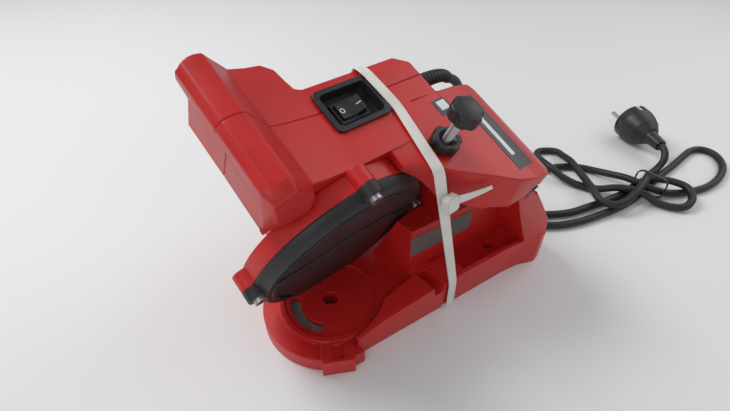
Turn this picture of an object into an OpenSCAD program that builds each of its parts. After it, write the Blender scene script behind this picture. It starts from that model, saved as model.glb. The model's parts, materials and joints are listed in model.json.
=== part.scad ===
// Bench sharpener for saw chains: a low plastic base with a round vise seat, and a grinding head
// that swings down on a slanted hinge.
// The origin is the axis of the vise pivot hole, at the bench. +X runs back to the hinge, +Z up.
// The head has its own frame: X runs along the base, Y along the motor shaft, Z out of its top.

/* [Base] */
// Radius of the round nose under the vise seat
nose_r = 46.8; // [45:0.2:48]
// Height of the vise seat above the bench
seat_h = 15; // [14:0.5:17]
// Radius of the vise seat
seat_r = 35.5; // [34:0.5:36]
// Radius of the sunk disc that the vise turns on
disc_r = 31.5; // [30:0.5:33]
// Depth of that disc below the seat
disc_drop = 1.5; // [1:0.1:2]
// Height of the rim around the seat
rim_h = 11.5; // [9:0.5:13]
// Height of the side walls
side_h = 26; // [24:0.5:28]
// Thickness of the base's walls
base_wall = 3; // [2.5:0.1:3.5]
// Diameter of the pivot hole
pivot_d = 10.4; // [8:0.1:12]
// Mid radius of the swivel slot
slot_r = 24.5; // [23:0.1:26]
// Width of the swivel slot
slot_w = 6.6; // [6:0.1:8]
// Swivel of the vise each way, degrees
swivel = 35; // [30:1:40]
// Diameter of the bench screw holes
foot_hole_d = 7; // [6:0.1:8]
// Height of the pedestal that carries the head
pedestal_h = 64; // [60:1:66]

/* [Head] */
// Slope of the motor shaft above level, degrees
head_tilt = 25; // [25:1:25]
// Hinge pin diameter
hinge_d = 8; // [7:0.5:8]
// Thickness of the head's shells
shell = 2.6; // [2.2:0.1:3]
// Parting plane of the two shells, along the shaft
seam_y = 77; // [76:1:78]

/* [Wheel and guard] */
// Grinding wheel diameter
wheel_d = 108; // [104:1:108]
// Grinding wheel thickness
wheel_t = 3.2; // [3.2:0.1:4.5]
// Grinding wheel bore
wheel_bore = 23; // [22:0.1:23]
// Outer radius of the guard
guard_r = 62; // [61.5:0.5:62]
// Level of the straight bottom edge of the guard
guard_cut = 11; // [10:0.5:12]

/* [Switch] */
// Length of the switch recess
bezel_l = 40; // [39:1:41]
// Width of the switch recess
bezel_w = 30; // [29:1:31]
// Rocker travel, degrees
rocker_swing = 20; // [16:1:20]

/* [Depth stop] */
// Diameter of the stop screw
stop_d = 6; // [5:0.5:6]
// Diameter of the star knob
knob_d = 18.8; // [18:0.2:20]
// Diameter of the lock nut
nut_d = 18; // [17:0.5:19]

/* [Cord] */
// Cord diameter
cord_d = 6.6; // [6:0.1:6.6]
// Plug body radius
plug_r = 18.4; // [17.5:0.1:19]

/* [Hidden] */
$fn = 72;

red = [0.72, 0.06, 0.05];
black = [0.06, 0.06, 0.065];
steel = [0.72, 0.73, 0.75];
brass = [0.8, 0.62, 0.3];
big = 400;
fit = 0.02;               // clearance of parts that are pressed or fixed together
run_fit = 0.04;           // clearance of parts that turn

hinge_x = 125;            // hinge axis, in the head's frame
hinge_z = 98;
hinge_y0 = -15;           // near face of the near lug
hinge_y1 = 50;            // far face of the far lug
lug_t = 9;
lug_r = 9;
wheel_x = 9.5;            // shaft axis, in the head's frame
wheel_z = 61.5;
wheel_y = 28;             // middle plane of the wheel
cover_front = 20;         // front face of the guard cover
cover_back = 28;
guard_back = 39;          // back of the guard, where the shells begin
shaft_d = 8;
body_back = 95;           // rear face of the motor part
body_floor = 60;          // its lower face
lobe_far = 118;           // far end of the hand bar and of the motor barrel
arm_far = 62;             // far side of the hinge arm
barrel_r = 36;
can_r = 30;
bearing_d = 22;
bezel_x = 35.5;           // centre of the switch recess
bezel_y = 75;
bezel_z = 124.4;
recess_z = 118;           // floor of the recess
rocker_rise = 1.6;        // the rocker's trunnions above that floor
trunnion_d = 2;
stop_x = 67.5;            // axis of the depth stop
stop_y = 28;
nut_z = 124.3;
knob_z = 148;
bench_hole = [122.7, 40.3];
rear_x = 165;
cut_z = seat_h + 0.4;     // flat cuts that divide the base
cut_x = 59.3;

// ---------- helpers ----------

// puts things drawn in the head's frame where they stand
module in_head() { rotate([head_tilt, 0, 0]) children(); }

// a profile drawn in X and Z, carried along Y from y0 to y1
module slab(y0, y1) {
    translate([0, y1, 0]) rotate([90, 0, 0]) linear_extrude(y1 - y0) children();
}

// a round bar along Y
module rod(x, z, y0, y1, d, fn = 72) {
    translate([x, y0, z]) rotate([-90, 0, 0]) cylinder(d = d, h = y1 - y0, $fn = fn);
}

module ring(x, z, y0, y1, d_out, d_in) {
    difference() {
        rod(x, z, y0, y1, d_out);
        rod(x, z, y0 - 1, y1 + 1, d_in);
    }
}

// a pan-head screw along Y, its head at the low end of Y, with a cross recess
module pan_screw(x, z, y, length, d) {
    difference() {
        union() {
            rod(x, z, y, y + d * 0.65, d * 1.9, 32);
            rod(x, z, y + 0.1, y + length, d, 24);
        }
        for (a = [0, 90])
            translate([x, y, z]) rotate([0, a, 0]) cube([d * 1.1, d * 0.7, d * 0.22], center = true);
    }
}

function unit(v) = v / norm(v);

// a tube through points, with a radius for each; every ring is square to the path.
// before and after are the points next to its ends, where another piece carries the line on
module sweep(points, radii, sides, before = undef, after = undef) {
    n = len(points);
    along = [for (i = [0:n - 1])
        unit((i < n - 1 ? points[i + 1] : is_undef(after) ? points[i] : after)
             - (i > 0 ? points[i - 1] : is_undef(before) ? points[i] : before))];
    side = [for (i = [0:n - 1]) unit(cross(along[i], abs(along[i][2]) > 0.9 ? [0, 1, 0] : [0, 0, 1]))];
    up = [for (i = [0:n - 1]) cross(side[i], along[i])];
    skin = [for (i = [0:n - 1], j = [0:sides - 1])
        points[i] + radii[i] * (cos(360 * j / sides) * side[i] + sin(360 * j / sides) * up[i])];
    walls = [for (i = [0:n - 2], j = [0:sides - 1])
        [i * sides + j, i * sides + (j + 1) % sides,
         (i + 1) * sides + (j + 1) % sides, (i + 1) * sides + j]];
    ends = [[for (j = [sides - 1:-1:0]) j], [for (j = [0:sides - 1]) (n - 1) * sides + j]];
    polyhedron(skin, concat(walls, ends), convexity = 10);
}

// ---------- base ----------

side_tan = tan(8.2);                           // the side walls open to the rear
function side_at(x) = 41.1 + side_tan * x;
wing = [[122, side_at(122)], [137, 62], [150, 68], [157.5, 67], [rear_x, 60]];

// plan of the walled part, mirrored across the base's middle, drawn in by t
module plan(from_x, t = 0) {
    half = [for (p = concat([[from_x, side_at(from_x)]], wing)) [min(p[0], rear_x - t), p[1] - t]];
    polygon(concat(half, [for (i = [len(half) - 1:-1:0]) [half[i][0], -half[i][1]]]));
}

// side walls: a ramp behind the seat, a notch, a block, and a thin wall beside each bench screw
module side_walls() {
    difference() {
        intersection() {
            linear_extrude(side_h + 6) plan(-12);
            slab(-big, big) polygon([[-8, -1], [-8, 17], [10, 22], [52, 26.4], [54, 18], [60, 18],
                [61.5, side_h], [84, side_h], [rear_x, side_h + 0.8], [rear_x, -1]]);
        }
        translate([-50, -30, 0]) cube([133, 60, big]);
        translate([0, 0, seat_h]) intersection() {
            linear_extrude(big) plan(12, 4);
            translate([82, -80, 0]) cube([55, 160, big]);
        }
        translate([130, -44, side_h - 2]) cube([big, 88, big]);
    }
}

// pedestal under the head, open beside the guard
module pedestal() {
    difference() {
        linear_extrude(pedestal_h) polygon([[50, -25.3], [150, -39.7], [150, 26], [79.5, 26], [50, 12]]);
        in_head() translate([0, 17, -50]) cube([79.5, 100, 200]);
    }
    translate([50, -29.5, 0]) rotate([0, 0, -8.2]) cube([34, 5, 24]);
}

// the block with the index slot beside the seat
module seat_pointer() {
    rotate([0, 0, 58.5]) difference() {
        translate([-49.5, -10.5, 0]) cube([15.5, 21, seat_h - 1]);
        translate([-47, -4, seat_h - 5]) cube([12, 8, 10]);
    }
}

// near lug: a leaning buttress that sweeps up from the rear corner to the hinge pin
module near_lug() {
    in_head() rod(hinge_x, hinge_z, hinge_y0, hinge_y0 + lug_t, 2 * lug_r, 48);
    difference() {
        buttress();
        in_head() translate([100, hinge_y0 + lug_t, 84]) cube([60, 30, 60]);
        in_head() rod(hinge_x, hinge_z, hinge_y0 - 20, hinge_y0, 2 * lug_r, 48);
        in_head() slab(-30, hinge_y0 + lug_t)
            polygon([[hinge_x, hinge_z], [hinge_x + 15, hinge_z - 12], [145, hinge_z], [145, 115]]);
    }
}

module buttress() {
    intersection() {
        linear_extrude(big) plan(100);
        slab(-80, -30) polygon([[117, 86], [133, 86], [136, 79], [142, 67], [149, 56], [156, 44],
            [162, 34], [rear_x, 26], [rear_x, 8.5], [138, 8.5], [137, 26], [128, 46], [120, 66], [116, 80]]);
        union() {
            translate([0, -66.5, 25]) rotate([-10.6, 0, 0]) translate([0, 0, -40]) cube([big, 9.5, 120]);
            translate([0, -66.5, 25]) rotate([-10.6, 0, 0]) translate([0, 0, -40]) cube([big, 40, 76]);
        }
    }
}

module far_lug() {
    in_head() slab(hinge_y1 - lug_t, hinge_y1) {
        translate([hinge_x, hinge_z]) circle(lug_r, $fn = 48);
        polygon([[hinge_x - 8.6, hinge_z + 2], [hinge_x + 8.6, hinge_z + 2], [139, 48], [109, 48]]);
    }
}

// pads on the pedestal: the head rests on one, the depth screw comes down on the other
module head_rests() {
    in_head() slab(42, 50) polygon([[80, 44], [92, 44], [92, body_floor - 0.4], [80, body_floor - 0.4]]);
    in_head() slab(21, 34) polygon([[80, 50], [94, 50], [94, 91], [67.6, 91], [68, 86], [79.5, 76]]);
}

module slot_cut() {
    rotate([0, 0, 180 - swivel]) rotate_extrude(angle = 2 * swivel)
        translate([slot_r - slot_w / 2, -1]) square([slot_w, 60]);
    for (s = [-1, 1]) rotate([0, 0, 180 + s * swivel]) translate([slot_r, 0, -1])
        cylinder(d = slot_w, h = 60, $fn = 32);
}

module base_solid() {
    intersection() {
        cylinder(r = nose_r, h = rim_h);
        translate([-108, -50, 0]) cube([100, 100, 50]);
    }
    linear_extrude(rim_h) plan(-9);
    cylinder(r = seat_r, h = seat_h);
    linear_extrude(seat_h) plan(-4);
    linear_extrude(side_h - 2) polygon([[152, -46], [rear_x, -52], [rear_x, 52], [152, 46]]);
    side_walls();
    pedestal();
    seat_pointer();
}

module base_hollow() {
    t = base_wall;
    translate([0, 0, -1]) {
        intersection() {
            cylinder(r = nose_r - t, h = rim_h - t + 1);
            translate([-108 - t, -50, 0]) cube([100, 100, 50]);
        }
        linear_extrude(rim_h - t + 1) plan(-13, t);
        linear_extrude(seat_h - t + 1) plan(12, t);
        linear_extrude(pedestal_h - t + 1)
            polygon([[82, -26.5], [147, -36], [147, 26 - t], [82, 26 - t]]);
    }
}

module whole_base() {
    difference() {
        union() {
            difference() {
                union() {
                    base_solid();
                    near_lug();
                }
                base_hollow();
                translate([0, 0, seat_h]) difference() {
                    cylinder(r = 37.5, h = 30);
                    translate([50, -50, 0]) cube(100);
                }
            }
            cylinder(d = 24, h = seat_h);
            for (s = [-1, 1]) translate([bench_hole[0], s * bench_hole[1], 0])
                cylinder(d = 16, h = seat_h, $fn = 48);
            far_lug();
            head_rests();
        }
        translate([0, 0, -1]) cylinder(d = pivot_d, h = seat_h + 2);
        translate([0, 0, seat_h - disc_drop]) cylinder(r = disc_r, h = 30);
        slot_cut();
        for (s = [-1, 1]) translate([bench_hole[0], s * bench_hole[1], -1])
            cylinder(d = foot_hole_d, h = seat_h + 2, $fn = 48);
        for (s = [-1, 1]) translate([67, s * 50, 0]) cube([12, 14, 4], center = true);
        in_head() rod(hinge_x, hinge_z, hinge_y0 - 5, hinge_y1 + 5, hinge_d + 2 * fit);
    }
}

// The base is one moulding. It is divided here by flat cuts, so that each part stays simple.
module below_cut(from_x, to_x) intersection() {
    whole_base();
    translate([from_x, -100, -10]) cube([to_x - from_x, 200, 10 + cut_z]);
}

module above_cut(outline) intersection() {
    whole_base();
    translate([0, 0, cut_z]) linear_extrude(big) polygon(outline);
}

module base() color(red) below_cut(-big, cut_x);

module deck() color(red) below_cut(cut_x, big);

module near_rail() color(red) above_cut([[-200, -200], [200, -200], [200, -41.3], [84.7, -41.3],
    [84.7, -30.9], [81, -29.9], [-200, -29.9]]);

module far_rail() color(red) above_cut([[-200, 28.3], [151, 28.3], [151, -41.3], [200, -41.3],
    [200, 200], [-200, 200]]);

module pedestal_box() color(red) above_cut([[-200, -29.9], [81, -29.9], [84.7, -30.9],
    [84.7, -41.3], [151, -41.3], [151, 28.3], [-200, 28.3]]);

// ---------- hinge ----------

module hinge_pin() color(steel) in_head() rod(hinge_x, hinge_z, -20, 55, hinge_d);

module pin_caps() color(black) in_head() {
    difference() {
        rod(hinge_x, hinge_z, -21.5, hinge_y0 - fit, 11, 40);
        rod(hinge_x, hinge_z, -20, 0, hinge_d + 2 * fit);
    }
    difference() {
        rod(hinge_x, hinge_z, hinge_y1 + fit, 56.5, 11, 40);
        rod(hinge_x, hinge_z, 0, 55, hinge_d + 2 * fit);
    }
}

// torsion spring around the hinge barrel: one leg down to the pedestal, one up to the arm
spring_r = 9.3;
spring_wire = 1.6;
spring_turns = 6;
module return_spring() color(steel) in_head() {
    n = 20;
    coil = [for (i = [0:n * spring_turns])
        [hinge_x - spring_r * cos(360 * i / n), 10 + 2.2 * i / n, hinge_z + spring_r * sin(360 * i / n)]];
    last_y = 10 + 2.2 * spring_turns;
    path = concat([[hinge_x - spring_r, 10, 69], [hinge_x - spring_r, 10, 84]], coil,
        [[hinge_x - spring_r + 0.4, last_y + 0.4, 102], [hinge_x - spring_r - 1, last_y + 0.6, 114]]);
    sweep(path, [for (p = path) spring_wire / 2], 8);
}

// ---------- head shells ----------

// outline of the motor part and hand bar, seen along the shaft
module body_profile() {
    polygon([[-42.5, 102], [-41.5, 123], [-47.5, 141], [-47.5, 145.5], [-44, 149], [-37, 150], [-33, 149.6],
        [-18, 131], [-8, 128], [1, 126.5], [13, bezel_z], [body_back - 2, 123.5], [body_back, 121.5],
        [body_back, body_floor], [wheel_x + barrel_r, body_floor], [wheel_x, wheel_z], [-26.5, wheel_z], [-33, 103]]);
}

// far outline of the motor part and the hand bar, seen from above
module far_plan(inset = 0) {
    offset(delta = -inset)
        polygon([[-70, 20], [-70, 113], [-46, 113], [-40, 115.4], [-30.6, 115.4], [-20, lobe_far], [2, lobe_far],
            [8, 113], [9.5, 104], [11, 97.5], [15, 95.5], [84, 95.5], [body_back, 87], [body_back, 20]]);
}

module block_outer() {
    intersection() {
        slab(guard_back + fit, lobe_far) body_profile();
        linear_extrude(big) far_plan();
    }
}

module block_inner() {
    intersection() {
        slab(guard_back + fit + shell, lobe_far) offset(delta = -shell) body_profile();
        linear_extrude(big) far_plan(shell);
    }
}

// outline of the hinge arm, seen along the shaft
module arm_profile(inset = 0) {
    offset(delta = -inset)
        polygon([[36, 80], [36, 123.9], [body_back - 10, 123.7], [112, 120], [128, 115], [137, 110],
            [139, 107], [139, 101.5], [120, 100], [84, 99], [60, 80]]);
}

// the arm from above, at its top edge and lower down, point for point
arm_top = [[36, 28], [44, 24], [55, 17], [69, 6], [87, -6.5], [101, -14], [114, -17.5],
           [132, -17.5], [139, -13], [139, 57], [133, arm_far], [36, arm_far]];
arm_low = [[36, 28], [46, 23], [57, 14], [69, 0], [82, -12.5], [97, -20.5], [112, -21.8],
           [132, -21], [139, -16], [139, 57], [133, arm_far], [36, arm_far]];

// outline moved in by d, for points that run counterclockwise
function inset(p, d) = [for (i = [0:len(p) - 1])
    let (u = unit(p[i] - p[(i + len(p) - 1) % len(p)]), v = unit(p[(i + 1) % len(p)] - p[i]),
         m = unit([-u[1] - v[1], u[0] + v[0]]))
    p[i] + m * d / (u[0] * m[1] - u[1] * m[0])];

// a solid between two outlines with as many points
module loft(low, high, z0, z1) {
    n = len(low);
    skin = concat([for (p = low) [p[0], p[1], z0]], [for (p = high) [p[0], p[1], z1]]);
    walls = [for (i = [0:n - 1]) each [[i, n + i, n + (i + 1) % n], [i, n + (i + 1) % n, (i + 1) % n]]];
    polyhedron(skin, concat(walls, [[for (i = [0:n - 1]) i], [for (i = [n - 1:-1:0]) n + i]]), convexity = 10);
}

module arm_block(t = 0) {
    loft(inset(arm_low, t), inset(arm_top, t), 98, 124.5);
}

module arm_outer() {
    intersection() {
        arm_block();
        slab(-40, 80) arm_profile();
    }
}

module arm_hollow() {
    difference() {
        intersection() {
            arm_block(shell);
            slab(-40, 80) difference() {
                translate([0, -shell]) arm_profile();
                translate([139 - shell, 60]) square(60);
            }
        }
        translate([-big, guard_back + fit, 0]) cube([big + body_back, big, big]);
    }
}

// near end of the hand bar, which hoods the guard
module bar_end() {
    hull() {
        slab(guard_back, guard_back + 2) polygon([[-42.5, 103], [-41.5, 123], [-47.5, 141], [-47.5, 145.5],
            [-44, 149], [-37, 150], [-33, 149.6], [-18, 131], [-18, 112]]);
        slab(32.5, 33.5) polygon([[-41, 124], [-45, 141], [-45, 143], [-37, 147], [-34, 147], [-21, 130],
            [-21, 117], [-36, 117]]);
    }
}

// keeps the shells clear of the guard and its lugs
module guard_room() {
    rod(wheel_x, wheel_z, -60, guard_back + fit, 2 * (guard_r + 0.3));
    for (p = lug_centres()) rod(p[0], p[1], -60, guard_back + fit, 13.6, 32);
    rod(hinge_x, hinge_z, -60, hinge_y0 + 1, 12.4, 40);
}

module barrel(y0, y1, r) rod(wheel_x, wheel_z, y0, y1, 2 * r);

shell_screws = [[-28, 114], [62, 110], [84, 68], [-23.5, 90]];
screw_seat = 88;          // where the heads of the shell screws bear

module shell_body() {
    difference() {
        union() {
            block_outer();
            barrel(guard_back + fit, lobe_far, barrel_r);
            arm_outer();
            bar_end();
        }
        guard_room();
        difference() {
            union() {
                block_inner();
                barrel(guard_back + shell, lobe_far - shell, barrel_r - shell);
            }
            shell_ribs();
        }
        arm_hollow();
    }
}

// ribs that hold the motor can, and the bosses of the shell screws
module shell_ribs() {
    for (y = [52, 90]) ring(wheel_x, wheel_z, y, y + 3, 2 * barrel_r - 1, 2 * (can_r + fit));
    ring(wheel_x, wheel_z, 103, lobe_far, 34, 26 + 2 * fit);
    for (p = shell_screws) {
        rod(p[0], p[1], guard_back + 1, seam_y, 8, 32);
        rod(p[0], p[1], seam_y, lobe_far, 11, 32);
    }
}

module hinge_barrel() {
    difference() {
        union() {
            rod(hinge_x, hinge_z, hinge_y0 + lug_t + 0.4, hinge_y1 - lug_t - 0.4, 15);
            for (y = [-3, 36])
                slab(y, y + 3) polygon([[hinge_x - 6, hinge_z], [hinge_x + 6, hinge_z],
                    [hinge_x + 6, 112], [hinge_x - 12, 118]]);
        }
        rod(hinge_x, hinge_z, -60, 100, hinge_d + 2 * run_fit);
    }
}

// boss that holds the depth stop's insert
module stop_boss() translate([stop_x, stop_y, 107.6]) cylinder(d = 16, h = 14, $fn = 48);

module housing_near() color(red) in_head() {
    difference() {
        union() {
            intersection() {
                shell_body();
                translate([-big / 2, -big / 2, 0]) cube([big, big / 2 + seam_y, big]);
            }
            hinge_barrel();
            stop_boss();
        }
        openings_in_shells();
        translate([stop_x, stop_y, 100]) cylinder(r = 5.9, h = 18, $fn = 6);
        translate([stop_x, stop_y, 100]) cylinder(d = 7, h = 40, $fn = 40);
    }
}

module housing_far() color(red) in_head() {
    difference() {
        intersection() {
            shell_body();
            translate([-big / 2, seam_y + fit, 0]) cube([big, big, big]);
        }
        openings_in_shells();
    }
}

module openings_in_shells() {
    translate([bezel_x, bezel_y, 124]) cube([bezel_l - 3, bezel_w - 3, 30], center = true);
    rod(wheel_x, wheel_z, guard_back - 2, guard_back + shell + 1, 30);
    translate([body_back - 10, 77, 114]) rotate([0, 90, 0]) cylinder(d = 9, h = 20, $fn = 40);
    for (p = shell_screws) {
        rod(p[0], p[1], 64, screw_seat, 3.5 + 2 * fit, 24);
        rod(p[0], p[1], screw_seat, lobe_far + 1, 8, 32);
    }
}

module housing_screws() color(steel) in_head() {
    for (p = shell_screws) translate([p[0], screw_seat + 2.5, p[1]]) rotate([0, 0, 180])
        pan_screw(0, 0, 0, 25, 3.5);
}

// ---------- guard and wheel ----------

function lug_centres() =
    [for (a = [0, 90, 180]) [wheel_x + (guard_r - 0.5) * cos(a), wheel_z + (guard_r - 0.5) * sin(a)]];

module bottom_cut() translate([-100, 0, guard_cut - 100]) cube([250, 60, 100]);

module wheel_guard() color(red) in_head() {
    difference() {
        union() {
            rod(wheel_x, wheel_z, cover_back, guard_back, 2 * guard_r);
            for (p = lug_centres()) rod(p[0], p[1], cover_back, guard_back, 13, 32);
        }
        rod(wheel_x, wheel_z, cover_back - 1, guard_back - 2.5, 2 * (guard_r - 2.6));
        rod(wheel_x, wheel_z, 0, 100, 28);
        for (p = lug_centres()) rod(p[0], p[1], 0, guard_back - 2, 4 + 2 * fit, 24);
        bottom_cut();
    }
}

module guard_cover() color(black) in_head() {
    difference() {
        union() {
            translate([wheel_x, 0, wheel_z]) rotate([-90, 0, 0]) rotate_extrude()
                polygon([[0, cover_front], [57, cover_front], [60.6, cover_front + 3.2],
                    [guard_r, cover_front + 6.5], [guard_r, cover_back], [guard_r - 2.2, cover_back],
                    [guard_r - 2.4, cover_front + 7], [56, cover_front + 2.2], [0, cover_front + 2.2]]);
            for (p = lug_centres()) rod(p[0], p[1], cover_front + 1, cover_back, 13, 32);
        }
        rod(wheel_x, wheel_z, cover_front + 2.2, cover_back + 1, 2 * 55.5);
        for (p = lug_centres()) {
            rod(p[0], p[1], 0, 60, 4.4, 24);
            rod(p[0], p[1], 0, cover_front + 1, 8.2, 32);
        }
        bottom_cut();
    }
}

module guard_screws() color(steel) in_head() {
    for (p = lug_centres()) pan_screw(p[0], p[1], cover_front - 1.6, 16, 4);
}

module grinding_wheel() color([0.75, 0.45, 0.35]) in_head()
    ring(wheel_x, wheel_z, wheel_y - wheel_t / 2, wheel_y + wheel_t / 2, wheel_d, wheel_bore);

module inner_flange() color(steel) in_head() {
    difference() {
        union() {
            rod(wheel_x, wheel_z, wheel_y + wheel_t / 2, 33, 34);
            rod(wheel_x, wheel_z, wheel_y - wheel_t / 2 + 0.3, 30, wheel_bore - 2 * fit);
        }
        rod(wheel_x, wheel_z, 0, 60, shaft_d + 2 * fit);
    }
}

// flange nut with two pin spanner holes
module clamp_nut() color(steel) in_head() {
    difference() {
        rod(wheel_x, wheel_z, 22.9, wheel_y - wheel_t / 2, 34);
        rod(wheel_x, wheel_z, 0, 60, shaft_d + 2 * fit);
        for (s = [-1, 1]) rod(wheel_x + s * 12, wheel_z, 20, 24.9, 3.4, 24);
    }
}

// ---------- motor ----------

module motor_shaft() color(steel) in_head() rod(wheel_x, wheel_z, 22.7, 110, shaft_d, 48);

module bearing(y) {
    in_head() ring(wheel_x, wheel_z, y, y + 7, bearing_d, shaft_d + 2 * run_fit);
}

module front_bearing() color(steel) bearing(42);
module rear_bearing() color(steel) bearing(102);

module motor_can() color([0.5, 0.51, 0.53]) in_head() {
    difference() {
        union() {
            rod(wheel_x, wheel_z, 49, 99, 2 * can_r);
            rod(wheel_x, wheel_z, 42, 49.5, 26);
        }
        rod(wheel_x, wheel_z, 51, 100, 2 * (can_r - 2));
        rod(wheel_x, wheel_z, 40, 49, bearing_d + 2 * fit);
        rod(wheel_x, wheel_z, 40, 60, 12);
    }
}

module magnets() color([0.25, 0.25, 0.27]) in_head() {
    for (a = [30, 210]) translate([wheel_x, 54, wheel_z]) rotate([-90, 0, 0])
        rotate([0, 0, a]) rotate_extrude(angle = 120) translate([23.5, 0]) square([can_r - 2 - fit - 23.5, 38]);
}

// slotted iron core
module armature() color([0.45, 0.42, 0.4]) in_head() {
    difference() {
        rod(wheel_x, wheel_z, 57, 85, 45);
        rod(wheel_x, wheel_z, 50, 90, shaft_d + 2 * fit, 48);
        for (i = [0:9]) translate([wheel_x, 56, wheel_z]) rotate([0, 36 * i, 0])
            translate([21, 15, 0]) cube([4, 32, 2], center = true);
    }
}

module windings() color([0.7, 0.36, 0.2]) in_head() {
    ring(wheel_x, wheel_z, 52.5, 57, 36, shaft_d + 3);
    ring(wheel_x, wheel_z, 85, 89.5, 36, shaft_d + 3);
}

module commutator() color(brass) in_head() {
    difference() {
        rod(wheel_x, wheel_z, 89.5, 97, 20);
        rod(wheel_x, wheel_z, 80, 100, shaft_d + 2 * fit, 48);
        for (i = [0:9]) translate([wheel_x, 91, wheel_z]) rotate([0, 36 * i, 0])
            translate([9.6, 4, 0]) cube([1.6, 9, 0.6], center = true);
    }
}

module brush_plate() color([0.85, 0.82, 0.72]) in_head() {
    difference() {
        union() {
            rod(wheel_x, wheel_z, 99, 102, 2 * can_r);
            rod(wheel_x, wheel_z, 101, 109, 26);
        }
        rod(wheel_x, wheel_z, 102, 110, bearing_d + 2 * fit);
        rod(wheel_x, wheel_z, 90, 110, 12);
    }
}

module brush_holders() color(brass) in_head() {
    for (s = [-1, 1]) translate([wheel_x + s * 18.5, 95, wheel_z]) difference() {
        cube([13, 8, 8], center = true);
        cube([14, 5.1, 5.1], center = true);
    }
}

module brushes() color([0.15, 0.15, 0.16]) in_head() {
    for (s = [-1, 1]) translate([wheel_x + s * 15.4, 95, wheel_z]) cube([10, 5, 5], center = true);
}

// ---------- switch ----------

module rounded_plate(l, w, r, h) {
    linear_extrude(h) offset(r = r, $fn = 32) square([l - 2 * r, w - 2 * r], center = true);
}

module switch_bezel() color(black) in_head() translate([bezel_x, bezel_y, 0]) {
    difference() {
        union() {
            translate([0, 0, bezel_z + fit]) rounded_plate(bezel_l, bezel_w, 5, 1.6);
            translate([0, 0, recess_z - 2]) rounded_plate(bezel_l - 3.2, bezel_w - 3.2, 4, 9);
        }
        translate([0, 0, recess_z]) rounded_plate(bezel_l - 7, bezel_w - 7, 3, 12);
        cube([19.2, 12.9, 300], center = true);
    }
}

module switch_body() color(black) in_head() translate([bezel_x, bezel_y, 0]) {
    difference() {
        union() {
            translate([-10.5, -7.5, recess_z + fit]) cube([21, 15, 1.8]);
            translate([-9.4, -6.25, 99]) cube([18.8, 12.5, 20]);
        }
        translate([-8.7, -5.7, 110]) cube([17.4, 11.4, 30]);
        rod(0, recess_z + rocker_rise, -6.2, 6.2, trunnion_d + 2 * run_fit, 32);
    }
    for (x = [-6, 0, 6]) translate([x - 0.4, -2.4, 91]) cube([0.8, 4.8, 9]);
}

module rocker() color(black) in_head() translate([bezel_x, bezel_y, recess_z + rocker_rise]) {
    rod(0, 0, -6, 6, trunnion_d, 32);
    rotate([0, -rocker_swing / 2, 0]) slab(-5.3, 5.3)
        polygon([[-8.1, -1.5], [-8.1, 3.4], [-4, 2.2], [0, 1.7], [4, 2.2], [8.1, 3.4], [8.1, -1.5], [3, -4], [-3, -4]]);
}

// ---------- depth stop ----------

module at_stop() in_head() translate([stop_x, stop_y, 0]) children();

// round outline with lobes
module star(d, lobes) {
    difference() {
        circle(d = d, $fn = 60);
        for (i = [0:lobes - 1]) rotate(360 * i / lobes) translate([d * 0.62, 0]) circle(d = d * 0.4, $fn = 24);
    }
}

module stop_insert() color(brass) at_stop() translate([0, 0, 110]) difference() {
    cylinder(r = 5.77, h = 8, $fn = 6);
    translate([0, 0, -1]) cylinder(d = stop_d + 2 * run_fit, h = 20, $fn = 48);
}

module stop_screw() color(steel) at_stop() translate([0, 0, 102]) {
    cylinder(d1 = stop_d - 1.6, d2 = stop_d, h = 1, $fn = 48);
    translate([0, 0, 1]) cylinder(d = stop_d, h = knob_z - 102 + 4, $fn = 48);
}

module stop_knob() color(black) at_stop() translate([0, 0, knob_z]) difference() {
    intersection() {
        linear_extrude(9.6) star(knob_d, 6);
        translate([0, 0, -13.4]) sphere(r = 23, $fn = 60);
        union() {
            translate([0, 0, 1.6]) cylinder(d = knob_d + 1, h = 12);
            cylinder(d1 = knob_d - 2, d2 = knob_d + 1.2, h = 1.6);
        }
    }
    translate([0, 0, -1]) cylinder(d = stop_d + 2 * run_fit, h = 6.1, $fn = 48);
}

module lock_nut() color(black) at_stop() translate([0, 0, nut_z]) difference() {
    linear_extrude(6.8) star(nut_d, 6);
    translate([0, 0, -1]) cylinder(d = stop_d + 2 * run_fit, h = 12, $fn = 48);
    translate([0, 0, 3.4]) cylinder(d1 = stop_d, d2 = 11.4, h = 3.5, $fn = 48);
}

// ---------- mains cord ----------

plug_at = [363.5, -70.5, 18.4];
plug_turn = -32;          // degrees to the left of +Y; the plug lies on the rim of its body
plug_axis = [-sin(plug_turn), cos(plug_turn), 0];

// the ribbed sleeve, from inside the shell, in the head's frame
sleeve = [[88.2, 77, 114], [92.35, 77, 114], [92.36, 77, 114], [95.1, 77, 114], [95.3, 77, 114]];
sleeve_r = [6, 6, 4.4, 4.4, 5.2];
sleeve_bend = [[97, 77, 114], [103, 77, 114], [109, 77, 113.8], [115, 77, 112.9],
    [120.5, 77, 111.3], [125.5, 77, 108.9], [130, 77, 105.8]];

// from the sleeve down to the bench
drop_path = [out_of_head([130, 77, 105.8]), [141, 26, 122], [151, 28, 111], [160, 30, 96],
    [168, 32, 79], [176, 34, 62], [186, 36, 45], [198, 36, 30], [211, 33, 19], [226, 24, 10],
    [242, 9, 4], [259, -6, 3.4]];

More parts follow.
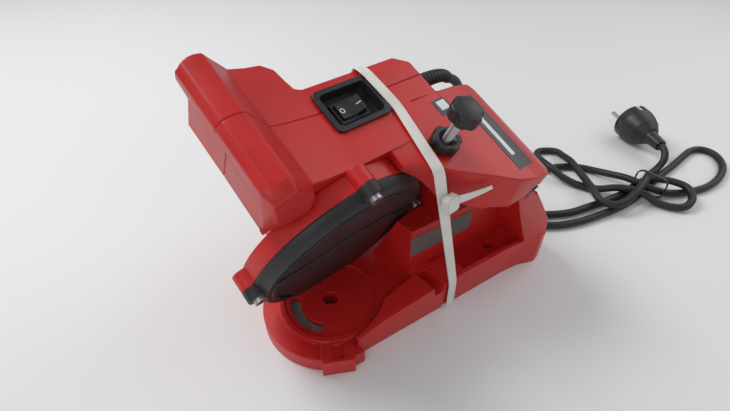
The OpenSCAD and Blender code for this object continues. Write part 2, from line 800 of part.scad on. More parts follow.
// along the bench, through the loops of the tied bundle, to the plug
bench_path = concat([[259, -6, 3.4], [277, -15, 3.4], [290, -28, 3.4], [296, -43, 4.4],
    [297, -57, 7.6], [297, -70, 10.8], [298, -83, 11], [303, -95, 8.4], [315, -105, 4.2],
    [333, -116, 3.4], [352, -123.5, 3.4], [372, -126, 3.4], [392, -124, 3.4], [408, -117.5, 3.4],
    [418, -107, 3.4], [417, -95.5, 3.4], [406, -89.5, 3.4], [388, -88.5, 3.4], [366, -88.3, 3.4],
    [342, -87, 3.4], [322, -87, 3.6], [300, -87, 4.8], [278, -86, 3.6], [256, -82, 3.4],
    [235, -76, 3.4], [215, -69, 3.4], [197, -59, 3.4], [184, -45, 3.4], [178, -28, 3.4],
    [176, -8, 3.4], [176, 13, 3.4], [180, 32, 3.4], [192, 46, 3.4], [207, 48, 3.4],
    [218, 39, 3.4], [219, 25, 3.4], [208, 12, 3.4], [195, 1, 3.4], [189, -15, 3.4],
    [190, -32, 3.4], [203, -46, 3.4], [221, -58, 3.4], [241, -65, 3.4], [261, -71, 3.4],
    [280, -76, 3.8], [296, -78, 4.8], [304, -79.5, 6], [312, -84, 10.4], [319, -92, 10.8],
    [325, -103, 10.8], [325, -114, 10.4], [316, -122, 8], [304, -122, 5], [296, -113, 3.8],
    [292, -102, 4.4], [289, -92, 8.6], [284, -82, 10.8], [278, -70, 9], [270, -58, 4.6],
    [263, -43, 3.8], [259, -28, 6.4], [259, -13, 10.4], [265, 0, 8.6], [274, 10, 4.6],
    [286, 14, 3.4], [297, 3, 4], [291, -9, 7], [283, -21, 10.4], [275, -33, 10.4],
    [266, -46, 10.4], [256, -58, 11.6], [248, -69, 10.8], [250, -80, 10.6], [261, -86, 12.4],
    [280, -87, 17], [297, -85, 18], [310, -82.6, 14], [322, -80.6, 8.6], [334, -80, 5],
    [344, -80.6, 5.4], [352, -81, 10.4], [357.5, -78.4, 15.4]], [plug_at - 4 * plug_axis, plug_at]);

module strain_relief() color(black) in_head() {
    ribs = [for (i = [0:len(sleeve_bend) - 2], t = [0:0.25:0.99])
        sleeve_bend[i] * (1 - t) + sleeve_bend[i + 1] * t];
    path = concat(sleeve, ribs, [sleeve_bend[len(sleeve_bend) - 1]]);
    radii = [for (i = [0:len(path) - 1])
        i < len(sleeve) ? sleeve_r[i] : (i % 2 == 0 ? 5.3 : 4.5) - 1.2 * (i - len(sleeve)) / len(ribs)];
    sweep(path, radii, 14, after = into_head(drop_path[1]));
}

function out_of_head(p) = [p[0], p[1] * cos(head_tilt) - p[2] * sin(head_tilt),
                           p[1] * sin(head_tilt) + p[2] * cos(head_tilt)];
function into_head(p) = [p[0], p[1] * cos(head_tilt) + p[2] * sin(head_tilt),
                         p[2] * cos(head_tilt) - p[1] * sin(head_tilt)];

module cord_drop() color(black) sweep(drop_path, [for (p = drop_path) cord_d / 2], 10,
    before = out_of_head(sleeve_bend[len(sleeve_bend) - 1]
        - 0.25 * (sleeve_bend[len(sleeve_bend) - 1] - sleeve_bend[len(sleeve_bend) - 2])),
    after = bench_path[1]);

module mains_cord() color(black) sweep(bench_path, [for (p = bench_path) cord_d / 2], 10,
    before = drop_path[len(drop_path) - 2], after = plug_at + plug_axis);

// thin band around the bundle
module cord_tie() color(black) translate([303.5, -88.4, 11.2]) rotate([90, 0, 90])
    linear_extrude(2.4, center = true) difference() {
        offset(r = 6, $fn = 24) square([15.6, 9.8], center = true);
        offset(r = 5, $fn = 24) square([15.6, 9.8], center = true);
    }

module in_plug() translate(plug_at) rotate([0, 0, plug_turn]) children();

// round moulded body with a ribbed neck and two earth contact channels; +Y runs from cord to pins
module plug_body() color(black) in_plug() difference() {
    rotate([-90, 0, 0]) rotate_extrude() polygon(concat([[0, 0]],
        [for (i = [0:4], r = [5.4, 5.9]) [r + i * 0.25, 3.2 * i + (r > 5.5 ? 2 : 0)]],
        [[7.2, 16], [9.5, 18], [14.6, 26], [17, 33], [plug_r, 40], [plug_r, 49.4], [plug_r - 1, 50.2], [0, 50.2]]));
    for (s = [-1, 1]) {
        translate([0, 46, s * (plug_r + 1.6)]) cube([6, 12, 7], center = true);
        translate([s * (plug_r + 2.2), 44, 0]) cube([6, 8, 15], center = true);
    }
}

module plug_pins() color(steel) in_plug() {
    for (s = [-1, 1]) {
        translate([s * 9.5, 50.2, 0]) rotate([-90, 0, 0]) cylinder(d = 4.8, h = 17.5, $fn = 32);
        translate([s * 9.5, 67.6, 0]) sphere(d = 4.7, $fn = 24);
    }
}

// strip contacts in the plug's two channels
module earth_clips() color(brass) in_plug()
    for (s = [-1, 1]) translate([0, 45.8, s * (plug_r - 1.4)]) cube([4, 8, 1], center = true);

// ---------- cable tie ----------

// the band's line, in the head's frame over the head and in the base's frame below it
band = concat([[67, -52.6, 1.3], [66, -52.5, 26]],
    [for (p = [[51.7, 15.6, 125.6], [60.4, 61, 125.3], [59.7, 72, 127], [58.2, 89, 127.4],
        [57.6, 96.8, 125.4], [58.6, 96.8, 59]]) out_of_head(p)],
    [[66.4, 52.7, 26], [67, 52.6, 1.3]]);
band_turn = [-8, -8, -34, -5, -5, -5, -5, 0, 8, 8];   // how its flat lies, seen from above
band_w = 7.8;
band_t = 1.2;

module band_piece(i) translate(band[i]) rotate([0, 0, band_turn[i]])
    cube([band_w, band_t, band_t], center = true);

module cable_tie() color([0.93, 0.92, 0.9]) {
    for (i = [0:len(band) - 1]) hull() {
        band_piece(i);
        band_piece((i + 1) % len(band));
    }
    tie_head();
}

// ratchet head and tapering tail of the strip tie
tail = [[58, -46.5, 99.2], [66, -49.5, 99.6], [75, -53, 100.6], [83, -57, 102.6]];
module tie_head() {
    translate([55.8, -47.2, 99.4]) rotate([-9, 0, 0]) cube([12.5, 8, 12.5], center = true);
    for (i = [0:2]) hull() {
        translate(tail[i]) cube([1, 1.2, 7 - 1.6 * i], center = true);
        translate(tail[i + 1]) cube([1, 1.2, 7 - 1.6 * (i + 1)], center = true);
    }
}

base();
deck();
pedestal_box();
near_rail();
far_rail();
hinge_pin();
pin_caps();
return_spring();
cable_tie();
housing_near();
housing_far();
housing_screws();
wheel_guard();
guard_cover();
guard_screws();
grinding_wheel();
inner_flange();
clamp_nut();
motor_shaft();
armature();
windings();
commutator();
front_bearing();
rear_bearing();
motor_can();
magnets();
brush_plate();
brush_holders();
brushes();
switch_bezel();
switch_body();
rocker();
stop_insert();
stop_screw();
stop_knob();
lock_nut();
strain_relief();
cord_drop();
mains_cord();
cord_tie();
plug_body();
plug_pins();
earth_clips();
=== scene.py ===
"""Looks of the bench sharpener for saw chains: finishes, eased edges, cord and cable tie."""
import json
import math

import bmesh
import bpy
from mathutils import Matrix, Vector


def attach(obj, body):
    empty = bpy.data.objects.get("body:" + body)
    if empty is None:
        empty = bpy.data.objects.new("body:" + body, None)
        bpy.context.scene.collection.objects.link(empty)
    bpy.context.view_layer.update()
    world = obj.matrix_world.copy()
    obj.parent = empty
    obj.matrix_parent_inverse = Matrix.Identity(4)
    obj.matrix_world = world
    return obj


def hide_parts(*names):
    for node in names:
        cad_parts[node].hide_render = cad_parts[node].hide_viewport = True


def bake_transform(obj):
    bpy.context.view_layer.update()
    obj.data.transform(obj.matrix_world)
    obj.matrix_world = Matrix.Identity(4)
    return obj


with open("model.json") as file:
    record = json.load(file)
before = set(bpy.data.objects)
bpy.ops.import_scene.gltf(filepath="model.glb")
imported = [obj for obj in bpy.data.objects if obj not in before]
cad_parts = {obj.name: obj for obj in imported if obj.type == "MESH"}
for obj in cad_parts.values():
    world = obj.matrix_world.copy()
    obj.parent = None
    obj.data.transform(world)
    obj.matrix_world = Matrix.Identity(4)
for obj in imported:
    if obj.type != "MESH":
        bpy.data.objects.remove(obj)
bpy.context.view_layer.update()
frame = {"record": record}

MM = 0.001
HEAD_TILT = math.radians(25)          # slope of the motor shaft above level
IN_HEAD = Matrix.Rotation(HEAD_TILT, 4, "X")   # from the head's own frame to the bench's


def head_point(x, y, z):
    """A point of the head's frame, in millimetres, as a place in the scene."""
    return IN_HEAD @ Vector((x * MM, y * MM, z * MM))


def bench_point(x, y, z):
    return Vector((x * MM, y * MM, z * MM))


# ---------- camera, lamps and floor ----------

CAMERA_AT = (-0.1082, -0.1616, 0.2653)
CAMERA_HEADING = 49.1                 # degrees from +X towards +Y
CAMERA_DROP = 40.8                    # degrees below level
LENS = 21.965


def make_camera():
    data = bpy.data.cameras.new("camera")
    data.sensor_fit = "HORIZONTAL"
    data.sensor_width = 36
    data.lens = LENS
    data.clip_start = 0.01
    camera = bpy.data.objects.new("camera", data)
    camera.location = CAMERA_AT
    camera.rotation_euler = (math.radians(90 - CAMERA_DROP), 0, math.radians(CAMERA_HEADING - 90))
    bpy.context.collection.objects.link(camera)
    bpy.context.scene.camera = camera


def make_lamp(name, at, aim, watts, size):
    data = bpy.data.lights.new(name, "AREA")
    data.energy = watts
    data.size = size
    lamp = bpy.data.objects.new(name, data)
    lamp.location = at
    lamp.rotation_euler = (Vector(aim) - Vector(at)).to_track_quat("-Z", "Y").to_euler()
    bpy.context.collection.objects.link(lamp)


def make_studio():
    middle = (0.06, 0, 0.05)
    make_lamp("key", (-0.25, 0.75, 1.05), middle, 9.2, 0.55)
    make_lamp("fill", (-0.9, -0.6, 0.8), middle, 3.4, 1.0)
    make_lamp("rim", (0.9, -0.2, 0.7), middle, 2.6, 0.8)
    world = bpy.data.worlds.new("studio")
    world.use_nodes = True
    bpy.context.scene.world = world
    background = world.node_tree.nodes["Background"]
    background.inputs["Color"].default_value = (0.92, 0.94, 1, 1)
    background.inputs["Strength"].default_value = 0.37
    bpy.context.scene.view_settings.view_transform = "Standard"


def make_floor():
    bm = bmesh.new()
    bmesh.ops.create_grid(bm, x_segments=1, y_segments=1, size=2.5)
    floor = add_mesh("floor", bm)
    floor.data.materials.append(floor_finish())


# ---------- materials ----------

def start_material(name):
    """A new material, its shader, and a function that adds and links nodes."""
    material = bpy.data.materials.new(name)
    material.use_nodes = True
    tree = material.node_tree
    shader = tree.nodes["Principled BSDF"]

    def add(kind, inputs=None, **values):
        node = tree.nodes.new(kind)
        for key, value in values.items():
            setattr(node, key, value)
        for key, value in (inputs or {}).items():
            if isinstance(value, bpy.types.NodeSocket):
                tree.links.new(value, node.inputs[key])
            else:
                node.inputs[key].default_value = value
        return node

    return material, shader, add, tree.links.new


def grain_material(name, colour, rough, metal=0.0, grain=900, bump=0.04, vary=0.12, patches=9,
                   stretch=(1, 1, 1), coat=0.0, specular=0.5):
    """A surface with slow patches of tone and gloss, and a fine grain as bump."""
    material, shader, add, link = start_material(name)
    place = add("ShaderNodeTexCoord")
    fitted = add("ShaderNodeMapping", {"Vector": place.outputs["Object"], "Scale": stretch})
    patch = add("ShaderNodeTexNoise", {"Vector": place.outputs["Object"], "Scale": patches * 10,
                                       "Detail": 4.0})
    fine = add("ShaderNodeTexNoise", {"Vector": fitted.outputs[0], "Scale": float(grain),
                                      "Detail": 3.0})
    tone = add("ShaderNodeValToRGB", {"Fac": patch.outputs["Fac"]})
    tone.color_ramp.elements[0].position = 0.3
    tone.color_ramp.elements[0].color = (*[c * (1 - vary) for c in colour], 1)
    tone.color_ramp.elements[1].position = 0.7
    tone.color_ramp.elements[1].color = (*[min(1, c * (1 + vary)) for c in colour], 1)
    link(tone.outputs["Color"], shader.inputs["Base Color"])
    gloss = add("ShaderNodeMapRange", {"Value": patch.outputs["Fac"], "From Min": 0.3,
                                       "From Max": 0.7, "To Min": rough - 0.05,
                                       "To Max": rough + 0.06})
    link(gloss.outputs["Result"], shader.inputs["Roughness"])
    relief = add("ShaderNodeBump", {"Height": fine.outputs["Fac"], "Strength": bump,
                                    "Distance": 0.0004})
    link(relief.outputs["Normal"], shader.inputs["Normal"])
    shader.inputs["Metallic"].default_value = metal
    shader.inputs["Coat Weight"].default_value = coat
    shader.inputs["Specular IOR Level"].default_value = specular
    return material


def floor_finish():
    return grain_material("floor", (0.77, 0.765, 0.755), 0.6, grain=60, bump=0.01, vary=0.01,
                          patches=0.2)


def make_finishes():
    return {
        "red_plastic": grain_material("red_plastic", (0.53, 0.014, 0.012), 0.36, grain=1600,
                                      bump=0.10, vary=0.06, patches=4),
        "black_plastic": grain_material("black_plastic", (0.017, 0.017, 0.019), 0.42, grain=1800,
                                        bump=0.16, vary=0.2),
        "black_cord": grain_material("black_cord", (0.013, 0.013, 0.014), 0.5, grain=700,
                                     bump=0.14, vary=0.25),
        "zinc_steel": grain_material("zinc_steel", (0.55, 0.56, 0.57), 0.32, metal=1.0, grain=1500,
                                     bump=0.12, vary=0.1),
        "bright_steel": grain_material("bright_steel", (0.68, 0.69, 0.70), 0.2, metal=1.0,
                                       grain=900, bump=0.06, vary=0.05),
        "brass": grain_material("brass", (0.72, 0.5, 0.22), 0.3, metal=1.0, bump=0.08),
        "abrasive": grain_material("abrasive", (0.50, 0.22, 0.15), 0.85, grain=1300, bump=0.9,
                                   vary=0.3, patches=60),
        "ferrite": grain_material("ferrite", (0.09, 0.09, 0.095), 0.6, bump=0.3),
        "iron": grain_material("iron", (0.25, 0.24, 0.235), 0.45, metal=0.9, bump=0.25),
        "copper": grain_material("copper", (0.62, 0.26, 0.12), 0.3, metal=0.9, grain=2500,
                                 bump=0.6),
        "nylon": grain_material("nylon", (0.74, 0.72, 0.66), 0.4, grain=700, bump=0.1, vary=0.05),
        "carbon": grain_material("carbon", (0.04, 0.04, 0.042), 0.7, bump=0.3),
        "label_dark": grain_material("label_dark", (0.035, 0.035, 0.038), 0.35, bump=0.02),
        "label_white": grain_material("label_white", (0.72, 0.72, 0.71), 0.4, bump=0.02, vary=0.03),
        "label_grey": grain_material("label_grey", (0.13, 0.115, 0.105), 0.5, bump=0.03, vary=0.05),
    }


def finish_nodes(finishes):
    """Every CAD node takes the finish of its own slot."""
    for part in frame["record"]["subparts"]:
        piece = bpy.data.objects.get(part["node"])
        if piece is None or piece.type != "MESH":
            continue
        piece.data.materials.clear()
        piece.data.materials.append(finishes[part["material_slot"]])


# ---------- mesh helpers ----------

def add_mesh(name, bm, smooth=math.radians(40)):
    bmesh.ops.recalc_face_normals(bm, faces=bm.faces)
    mesh = bpy.data.meshes.new(name)
    bm.to_mesh(mesh)
    bm.free()
    piece = bpy.data.objects.new(name, mesh)
    bpy.context.collection.objects.link(piece)
    if smooth:
        mesh.shade_smooth()
        mesh.set_sharp_from_angle(angle=smooth)
    return piece


def apply_modifiers(piece):
    graph = bpy.context.evaluated_depsgraph_get()
    mesh = bpy.data.meshes.new_from_object(piece.evaluated_get(graph))
    piece.modifiers.clear()
    piece.data = mesh


def ease_edges(piece, width, steps=2, angle=28):
    """Rounds the sharp edges, and keeps the flats looking flat."""
    piece.data.shade_smooth()
    bevel = piece.modifiers.new("ease", "BEVEL")
    bevel.width = width * MM
    bevel.segments = steps
    bevel.limit_method = "ANGLE"
    bevel.angle_limit = math.radians(angle)
    bevel.use_clamp_overlap = False
    bevel.loop_slide = False
    weigh = piece.modifiers.new("weigh", "WEIGHTED_NORMAL")
    weigh.mode = "FACE_AREA"
    weigh.weight = 60
    apply_modifiers(piece)


def copied(node):
    """A copy of a node's mesh, with its doubled points joined."""
    bm = bmesh.new()
    bm.from_mesh(bpy.data.objects[node].data)
    bmesh.ops.remove_doubles(bm, verts=bm.verts, dist=2e-6)
    return add_mesh(node + "_eased", bm, smooth=0)


def eased(node, width, steps=2, angle=28):
    """A copy of a node with its edges rounded."""
    piece = copied(node)
    ease_edges(piece, width, steps, angle)
    return piece


def join_solids(nodes):
    """One solid from several that meet face to face, without the faces between them."""
    whole = copied(nodes[0])
    for node in nodes[1:]:
        other = copied(node)
        join = whole.modifiers.new("join", "BOOLEAN")
        join.operation = "UNION"
        join.solver = "EXACT"
        join.object = other
        apply_modifiers(whole)
        bpy.data.objects.remove(other)
    return whole


def finish_piece(piece, finishes, slot, body=None, node=None):
    """Gives a piece its finish and the body it rides on, and hides the node that it stands for."""
    piece.data.materials.clear()
    piece.data.materials.append(finishes[slot])
    if node:
        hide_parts(node)
    if body:
        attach(piece, body)
    return piece


def smooth_line(points, steps):
    """Catmull-Rom points through a list of places."""
    line = []
    last = len(points) - 1
    for i in range(last):
        a, b = points[max(i - 1, 0)], points[i]
        c, d = points[i + 1], points[min(i + 2, last)]
        for step in range(steps):
            t = step / steps
            line.append(0.5 * (2 * b + (c - a) * t + (2 * a - 5 * b + 4 * c - d) * t ** 2
                               + (3 * b - a - 3 * c + d) * t ** 3))
    line.append(points[last])
    return line


def tube(name, line, radii, sides=16):
    """A closed round bar along a line, with a radius for each of its points."""
    bm = bmesh.new()
    rings = []
    side = None
    for i, at in enumerate(line):
        along = (line[min(i + 1, len(line) - 1)] - line[max(i - 1, 0)]).normalized()
        if side is None:
            side = along.orthogonal().normalized()
        side = (side - along * side.dot(along)).normalized()
        other = along.cross(side)
        rings.append([bm.verts.new(at + radii[i] * (math.cos(turn) * side + math.sin(turn) * other))
                      for turn in (2 * math.pi * k / sides for k in range(sides))])
    for low, high in zip(rings, rings[1:]):
        for k in range(sides):
            bm.faces.new((low[k], low[(k + 1) % sides], high[(k + 1) % sides], high[k]))
    bm.faces.new(rings[0][::-1])
    bm.faces.new(rings[-1])
    return add_mesh(name, bm, smooth=math.radians(50))


def strap(bm, line, widths, across, thick):
    """A flat closed strip along a line; across is the direction of its width at each point."""
    rings = []
    for i, at in enumerate(line):
        along = (line[min(i + 1, len(line) - 1)] - line[max(i - 1, 0)]).normalized()
        wide = across[i] - along * across[i].dot(along)
        wide = wide.normalized() * widths[i] / 2
        up = along.cross(wide).normalized() * thick / 2
        edge = 0.86
        rings.append([bm.verts.new(at + a * wide + b * up) for a, b in
                      ((-1, -0.4), (-edge, -1), (edge, -1), (1, -0.4),
                       (1, 0.4), (edge, 1), (-edge, 1), (-1, 0.4))])
    for low, high in zip(rings, rings[1:]):
        for k in range(8):
            bm.faces.new((low[k], low[(k + 1) % 8], high[(k + 1) % 8], high[k]))
    bm.faces.new(rings[0][::-1])
    bm.faces.new(rings[-1])


def flat_plate(name, outlines, thick, place, edge=0.15):
    """A plate with rounded edges from closed outlines in millimetres; inner ones are holes."""
    curve = bpy.data.curves.new(name, "CURVE")
    curve.dimensions = "2D"
    curve.fill_mode = "BOTH"
    curve.extrude = (thick / 2 - edge) * MM
    curve.bevel_depth = edge * MM
    curve.bevel_resolution = 1
    curve.offset = -edge * MM
    for outline in outlines:
        spline = curve.splines.new("POLY")
        spline.points.add(len(outline) - 1)
        for point, (x, y) in zip(spline.points, outline):
            point.co = (x * MM, y * MM, 0, 1)
        spline.use_cyclic_u = True
    source = bpy.data.objects.new(name, curve)
    bpy.context.collection.objects.link(source)
    graph = bpy.context.evaluated_depsgraph_get()
    mesh = bpy.data.meshes.new_from_object(source.evaluated_get(graph))
    bpy.data.objects.remove(source)
    mesh.transform(place)
    mesh.shade_smooth()
    mesh.set_sharp_from_angle(angle=math.radians(40))
    piece = bpy.data.objects.new(name, mesh)
    bpy.context.collection.objects.link(piece)
    return piece


def arc(x, y, r, start, end, steps):
    """Points on an arc, its angles in degrees."""
    turns = [math.radians(start + (end - start) * i / steps) for i in range(steps + 1)]
    return [(x + r * math.cos(t), y + r * math.sin(t)) for t in turns]


def rounded_box(width, depth, corner):
    """Outline of a rectangle with round corners about the origin."""
    a, b = width / 2 - corner, depth / 2 - corner
    return (arc(a, b, corner, 0, 90, 4) + arc(-a, b, corner, 90, 180, 4)
            + arc(-a, -b, corner, 180, 270, 4) + arc(a, -b, corner, 270, 360, 4))


# ---------- mains cord ----------

CORD_D = 6.6 * MM
PLUG_AT = (363.5, -70.5, 18.4)
PLUG_TURN = math.radians(-32)
PLUG_AXIS = (-math.sin(PLUG_TURN), math.cos(PLUG_TURN), 0)
SLEEVE_BEND = [(97, 77, 114), (103, 77, 114), (109, 77, 113.8), (115, 77, 112.9),
               (120.5, 77, 111.3), (125.5, 77, 108.9), (130, 77, 105.8)]
DROP = [(141, 26, 122), (151, 28, 111), (160, 30, 96), (168, 32, 79), (176, 34, 62), (186, 36, 45),
        (198, 36, 30), (211, 33, 19), (226, 24, 10), (242, 9, 4), (259, -6, 3.4)]
BENCH = [
    (277, -15, 3.4), (290, -28, 3.4), (296, -43, 4.4),
    (297, -57, 7.6), (297, -70, 10.8), (298, -83, 11), (303, -95, 8.4), (315, -105, 4.2),
    (333, -116, 3.4), (352, -123.5, 3.4), (372, -126, 3.4), (392, -124, 3.4), (408, -117.5, 3.4),
    (418, -107, 3.4), (417, -95.5, 3.4), (406, -89.5, 3.4), (388, -88.5, 3.4), (366, -88.3, 3.4),
    (342, -87, 3.4), (322, -87, 3.6), (300, -87, 4.8), (278, -86, 3.6), (256, -82, 3.4),
    (235, -76, 3.4), (215, -69, 3.4), (197, -59, 3.4), (184, -45, 3.4), (178, -28, 3.4),
    (176, -8, 3.4), (176, 13, 3.4), (180, 32, 3.4), (192, 46, 3.4), (207, 48, 3.4),
    (218, 39, 3.4), (219, 25, 3.4), (208, 12, 3.4), (195, 1, 3.4), (189, -15, 3.4),
    (190, -32, 3.4), (203, -46, 3.4), (221, -58, 3.4), (241, -65, 3.4), (261, -71, 3.4),
    (280, -76, 3.8), (296, -78, 4.8), (304, -79.5, 6), (312, -84, 10.4), (319, -92, 10.8),
    (325, -103, 10.8), (325, -114, 10.4), (316, -122, 8), (304, -122, 5), (296, -113, 3.8),
    (292, -102, 4.4), (289, -92, 8.6), (284, -82, 10.8), (278, -70, 9), (270, -58, 4.6),
    (263, -43, 3.8), (259, -28, 6.4), (259, -13, 10.4), (265, 0, 8.6), (274, 10, 4.6),
    (286, 14, 3.4), (297, 3, 4), (291, -9, 7), (283, -21, 10.4), (275, -33, 10.4),
    (266, -46, 10.4), (256, -58, 11.6), (248, -69, 10.8), (250, -80, 10.6), (261, -86, 12.4),
    (280, -87, 17), (297, -85, 18), (310, -82.6, 14), (322, -80.6, 8.6), (334, -80, 5),
    (344, -80.6, 5.4), (352, -81, 10.4), (357.5, -78.4, 15.4)]


def make_cord(finishes):
    exit_at = head_point(*SLEEVE_BEND[-1])
    plug_at = bench_point(*PLUG_AT)
    before_plug = plug_at - 4 * MM * Vector(PLUG_AXIS)
    places = [exit_at] + [bench_point(*p) for p in DROP + BENCH] + [before_plug, plug_at]
    line = smooth_line(places, 5)
    for at in line:
        at.z = max(at.z, CORD_D / 2 + 0.1 * MM)
    cord = tube("cord", line, [CORD_D / 2] * len(line))
    finish_piece(cord, finishes, "black_cord")
    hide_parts("mains_cord", "cord_drop")
    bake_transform(cord)


def make_sleeve(finishes):
    """The ribbed strain relief, its flange in the shell and its taper down to the cord."""
    bend = smooth_line([Vector(p) for p in SLEEVE_BEND], 8)
    _, y, z = SLEEVE_BEND[0]
    steps = ((88.2, 6), (92.3, 6), (92.35, 4.4), (95.1, 4.4), (95.15, 5.6), (96.2, 5.6),
             (96.3, 4.9))
    start = [Vector((x, y, z)) for x, r in steps]
    radii = [r for x, r in steps]
    for i in range(len(bend)):
        share = i / (len(bend) - 1)
        groove = 0.65 if i % 4 in (2, 3) else 0
        radii.append(5.3 - 1.25 * share - groove * (i < len(bend) - 3))
    line = [IN_HEAD @ (p * MM) for p in start + bend]
    sleeve = tube("sleeve", line, [r * MM for r in radii], 24)
    finish_piece(sleeve, finishes, "black_cord", "head", "strain_relief")


# ---------- cable tie ----------

TIE_W = 6.6
TIE_T = 1.2
TIE_OVER_HEAD = [(51.7, 15.6, 125.6), (59.2, 61, 125.5), (57.4, 72, 127.1), (56, 89, 127.5),
                 (55.8, 96.8, 125.5), (57.6, 96.8, 59)]
TIE_TURN = (-8, -8, -34, -5, -5, -5, -5, 0, 8, 8)
TIE_TAIL = [(58, -46.5, 99.2), (66, -49.5, 99.8), (74, -53, 101.6), (80, -57, 105)]
TIE_LOCK = (55.8, -47.2, 99.4)


def round_corners(places, across, reach):
    """Cuts each corner of a path with a short curve, and carries its width directions along."""
    line, wide = [places[0]], [across[0]]
    for i in range(1, len(places) - 1):
        back = (places[i - 1] - places[i])
        ahead = (places[i + 1] - places[i])
        size = min(reach * MM, back.length / 3, ahead.length / 3)
        a, b = places[i] + back.normalized() * size, places[i] + ahead.normalized() * size
        for step in range(7):
            t = step / 6
            line.append(a * (1 - t) ** 2 + places[i] * 2 * t * (1 - t) + b * t ** 2)
            wide.append(across[i])
    return line + [places[-1]], wide + [across[-1]]


def make_tie(finishes):
    over = [head_point(*p) for p in TIE_OVER_HEAD]
    places = ([bench_point(67, -52.6, 1.3), bench_point(66, -52.5, 26)] + over
              + [bench_point(66.4, 52.7, 26), bench_point(67, 52.6, 1.3)])
    across = [Vector((math.cos(math.radians(a)), math.sin(math.radians(a)), 0)) for a in TIE_TURN]
    line, wide = round_corners(places, across, 5)
    line.append(line[0].copy())
    wide.append(wide[0])
    bm = bmesh.new()
    strap(bm, line, [TIE_W * MM] * len(line), wide, TIE_T * MM)
    tail = smooth_line([bench_point(*p) for p in TIE_TAIL], 6)
    taper = [(7 - 4.9 * i / (len(tail) - 1)) * MM for i in range(len(tail))]
    strap(bm, tail, taper, [Vector((0.1, 0, 1))] * len(tail), TIE_T * MM)
    lock_block(bm)
    tie = add_mesh("tie", bm, smooth=math.radians(35))
    finish_piece(tie, finishes, "nylon", None, "cable_tie")
    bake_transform(tie)


def lock_block(bm):
    """The tie's ratchet head: a block with round edges and a slot for the strip."""
    block = bmesh.new()
    bmesh.ops.create_cube(block, size=1)
    bmesh.ops.scale(block, vec=(10.2 * MM, 7 * MM, 10.2 * MM), verts=block.verts)
    front = min(block.faces, key=lambda f: f.calc_center_median().y)
    bmesh.ops.inset_individual(block, faces=[front], thickness=2.4 * MM)
    bmesh.ops.translate(block, vec=(0, 1.6 * MM, 0), verts=front.verts)
    edges = [e for e in block.edges if e.is_manifold and e.calc_face_angle() > 0.5]
    bmesh.ops.bevel(block, geom=edges, offset=1.3 * MM, segments=3, affect="EDGES")
    place = Matrix.Translation(bench_point(*TIE_LOCK)) @ Matrix.Rotation(math.radians(-9), 4, "X")
    bmesh.ops.transform(block, matrix=place, verts=block.verts)
    mesh = bpy.data.meshes.new("lock_block")
    block.to_mesh(mesh)
    block.free()
    bm.from_mesh(mesh)


# ---------- guard cover relief ----------

WHEEL_AT = (9.5, 61.5)
COVER_FRONT = 20


def on_cover(lift):
    """Place for a plate on the cover's front: its x runs along the base, its y up the cover."""
    front = (COVER_FRONT - lift) * MM
    axes = Matrix(((1, 0, 0, 0), (0, 0, -1, front), (0, 1, 0, 0), (0, 0, 0, 1)))
    return IN_HEAD @ axes


def crescent(x, y, r, start, end, depth):
    """A thin lens between two arcs."""
    outer = arc(x, y, r, start, end, 12)
    middle = math.radians((start + end) / 2)
    inner = arc(x + depth * math.cos(middle), y + depth * math.sin(middle),
                r - depth * 1.9, end - 6, start + 6, 12)
    return outer + inner


def make_cover_relief(finishes):
    x, y = WHEEL_AT
    field = (arc(x, y, 53.5, 166, 250, 20) + [(-4, 12.6), (23, 12.6)]
             + arc(x, y, 53.5, 290, 372, 20)
             + [(50, 74.5), (43.5, 75.5), (39, 81.5), (2, 81.5), (-5, 77)])
    left = crescent(x, y, 50.5, 190, 226, 4)
    right = crescent(x, y, 50.5, -22, 8, 4)
    plate = flat_plate("cover_field", [field, left, right], 1.3, on_cover(0.4), 0.3)
    finish_piece(plate, finishes, "black_plastic", "head")
    upper = (arc(x, y, 53.5, 20, 158, 30) + [(-10, 80), (3, 84.3), (40, 84.3), (46, 79.5)])
    crown = flat_plate("cover_crown", [upper], 0.9, on_cover(0.2), 0.3)
    finish_piece(crown, finishes, "black_plastic", "head")


# ---------- labels and marks ----------

HEAD_TOP = ((13, 124.4), (93, 123.5), (95.5, 122.3), (112, 120), (128, 115))


def top_height(x):
    """Height of the head's top face, in the head's frame."""
    for (x0, z0), (x1, z1) in zip(HEAD_TOP, HEAD_TOP[1:]):
        if x <= x1:
            return z0 + (z1 - z0) * (x - x0) / (x1 - x0)
    return HEAD_TOP[-1][1]


def top_sticker(name, x0, x1, y0, y1, lift, thick=0.2, skew=0.0):
    """A thin sticker that follows the head's top face."""
    breaks = [x0] + [x for x, z in HEAD_TOP if x0 < x < x1] + [x1]
    bm = bmesh.new()
    grid = []
    for x in breaks:
        shift = skew * (x - x0)
        grid.append([bm.verts.new(head_point(x, y + shift, top_height(x) + lift + rise))
                     for y, rise in ((y0, 0), (y1, 0), (y1, thick), (y0, thick))])
    for low, high in zip(grid, grid[1:]):
        for k in range(4):
            bm.faces.new((low[k], low[(k + 1) % 4], high[(k + 1) % 4], high[k]))
    bm.faces.new(grid[0][::-1])
    bm.faces.new(grid[-1])
    return add_mesh(name, bm, smooth=math.radians(20))


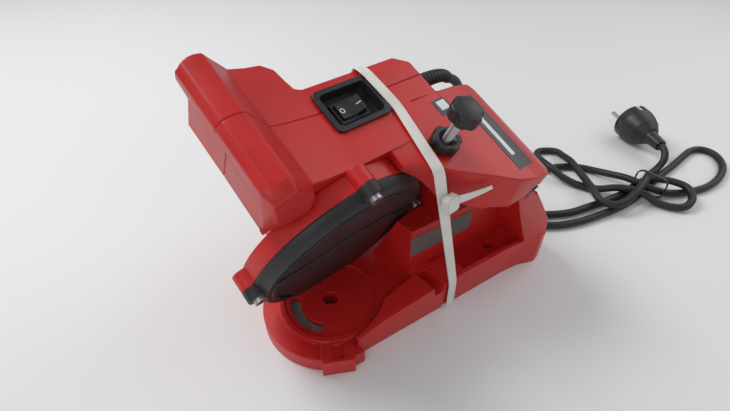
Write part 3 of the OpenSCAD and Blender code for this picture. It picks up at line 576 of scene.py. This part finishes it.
def make_labels(finishes):
    plate = top_sticker("rating_plate", 105, 122.5, -8, 52, 0.02)
    finish_piece(plate, finishes, "label_dark", "head")
    bar = top_sticker("plate_bar", 108.5, 112, 2, 33, 0.2)
    finish_piece(bar, finishes, "label_white", "head")
    small = top_sticker("small_plate", 83, 96, 44, 56, 0.02)
    finish_piece(small, finishes, "label_dark", "head")
    square = top_sticker("small_square", 86, 93, 47.5, 54.5, 0.2)
    finish_piece(square, finishes, "label_white", "head")
    slope = math.atan(0.1441)
    wall = (Matrix.Translation(bench_point(77, -29.3, 49)) @ Matrix.Rotation(-slope, 4, "Z")
            @ Matrix.Rotation(math.pi / 2, 4, "X"))
    strip = flat_plate("wall_strip", [rounded_box(54, 17, 1.5)], 0.5, wall, 0.12)
    finish_piece(strip, finishes, "label_grey", "base_body")


def make_rocker_marks(finishes):
    pivot = IN_HEAD @ Matrix.Translation(bench_point(35.5, 75, 119.6)) @ Matrix.Rotation(
        math.radians(-10), 4, "Y")
    facet = math.atan2(1.2, 4.1)
    for name, side, outlines in (
            ("mark_off", -1, [arc(0, 0, 1.7, 0, 345, 23), arc(0, 0, 1.15, 0, 345, 23)]),
            ("mark_on", 1, [rounded_box(3.4, 0.6, 0.2)])):
        place = (pivot @ Matrix.Translation(bench_point(side * 5.7, 0, 2.72))
                 @ Matrix.Rotation(-side * facet, 4, "Y"))
        mark = flat_plate(name, outlines, 0.24, place, 0.04)
        finish_piece(mark, finishes, "label_white", "switch_rocker")


# ---------- depth screw ----------

STOP_AT = (67.5, 28)


def around_stop(r, turn, z):
    """A place beside the depth screw's axis, in the head's frame."""
    return head_point(STOP_AT[0] + r * math.cos(turn), STOP_AT[1] + r * math.sin(turn), z)


def make_screw(finishes):
    """M6 rod with its thread cut as a helix."""
    pitch, sides, rows = 1.0, 20, 5
    radius, depth = 3.0, 0.32
    end, low, high = 102, 102.6, 152
    end_radius = 2.2
    count = int((high - low) / pitch * rows)
    turns = [2 * math.pi * k / sides for k in range(sides)]
    bm = bmesh.new()
    rings = []
    for row in range(count + 1):
        z = low + (high - low) * row / count
        ring = []
        for k in range(sides):
            phase = (z / pitch - k / sides) % 1
            r = radius - depth * (1 - abs(2 * phase - 1)) * (0 < row < count)
            ring.append(bm.verts.new(around_stop(r, turns[k], z)))
        rings.append(ring)
    for a, b in zip(rings, rings[1:]):
        for k in range(sides):
            bm.faces.new((a[k], a[(k + 1) % sides], b[(k + 1) % sides], b[k]))
    bm.faces.new(rings[-1])
    tip = [bm.verts.new(around_stop(end_radius, turn, end)) for turn in turns]
    for k in range(sides):
        bm.faces.new((tip[k], tip[(k + 1) % sides], rings[0][(k + 1) % sides], rings[0][k]))
    bm.faces.new(tip[::-1])
    rod = add_mesh("threaded_rod", bm, smooth=math.radians(50))
    finish_piece(rod, finishes, "zinc_steel", "depth_screw", "stop_screw")


# ---------- making the scene ----------

BASE_NODES = ("base", "deck", "pedestal_box", "near_rail", "far_rail")
BASE_EASE = 0.45                       # width of the base's rounded edges, in millimetres
EASED = {                              # the same for other nodes
    "housing_near": 0.9,
    "housing_far": 0.9,
    "wheel_guard": 0.5,
    "guard_cover": 0.4,
    "switch_bezel": 0.4,
    "rocker": 0.25,
    "stop_knob": 0.5,
    "lock_nut": 0.4,
    "pin_caps": 0.4,
}


def node_slot(node):
    return next(p["material_slot"] for p in frame["record"]["subparts"] if p["node"] == node)


def node_body(node):
    bodies = frame["record"]["behaviour"]["bodies"]
    return next(body for body, nodes in bodies.items() if node in nodes)


def make_base(finishes):
    """The base is one moulding, so the cuts between its nodes don't show."""
    base = join_solids(BASE_NODES)
    base.name = "base_moulding"
    ease_edges(base, BASE_EASE)
    finish_piece(base, finishes, "red_plastic", "base_body")
    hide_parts(*BASE_NODES)


def make_eased_pieces(finishes):
    for node, width in EASED.items():
        finish_piece(eased(node, width), finishes, node_slot(node), node_body(node), node)


make_camera()
make_studio()
make_floor()
finishes = make_finishes()
finish_nodes(finishes)
make_cord(finishes)
make_sleeve(finishes)
make_tie(finishes)
make_screw(finishes)
make_cover_relief(finishes)
make_labels(finishes)
make_rocker_marks(finishes)
make_base(finishes)
make_eased_pieces(finishes)
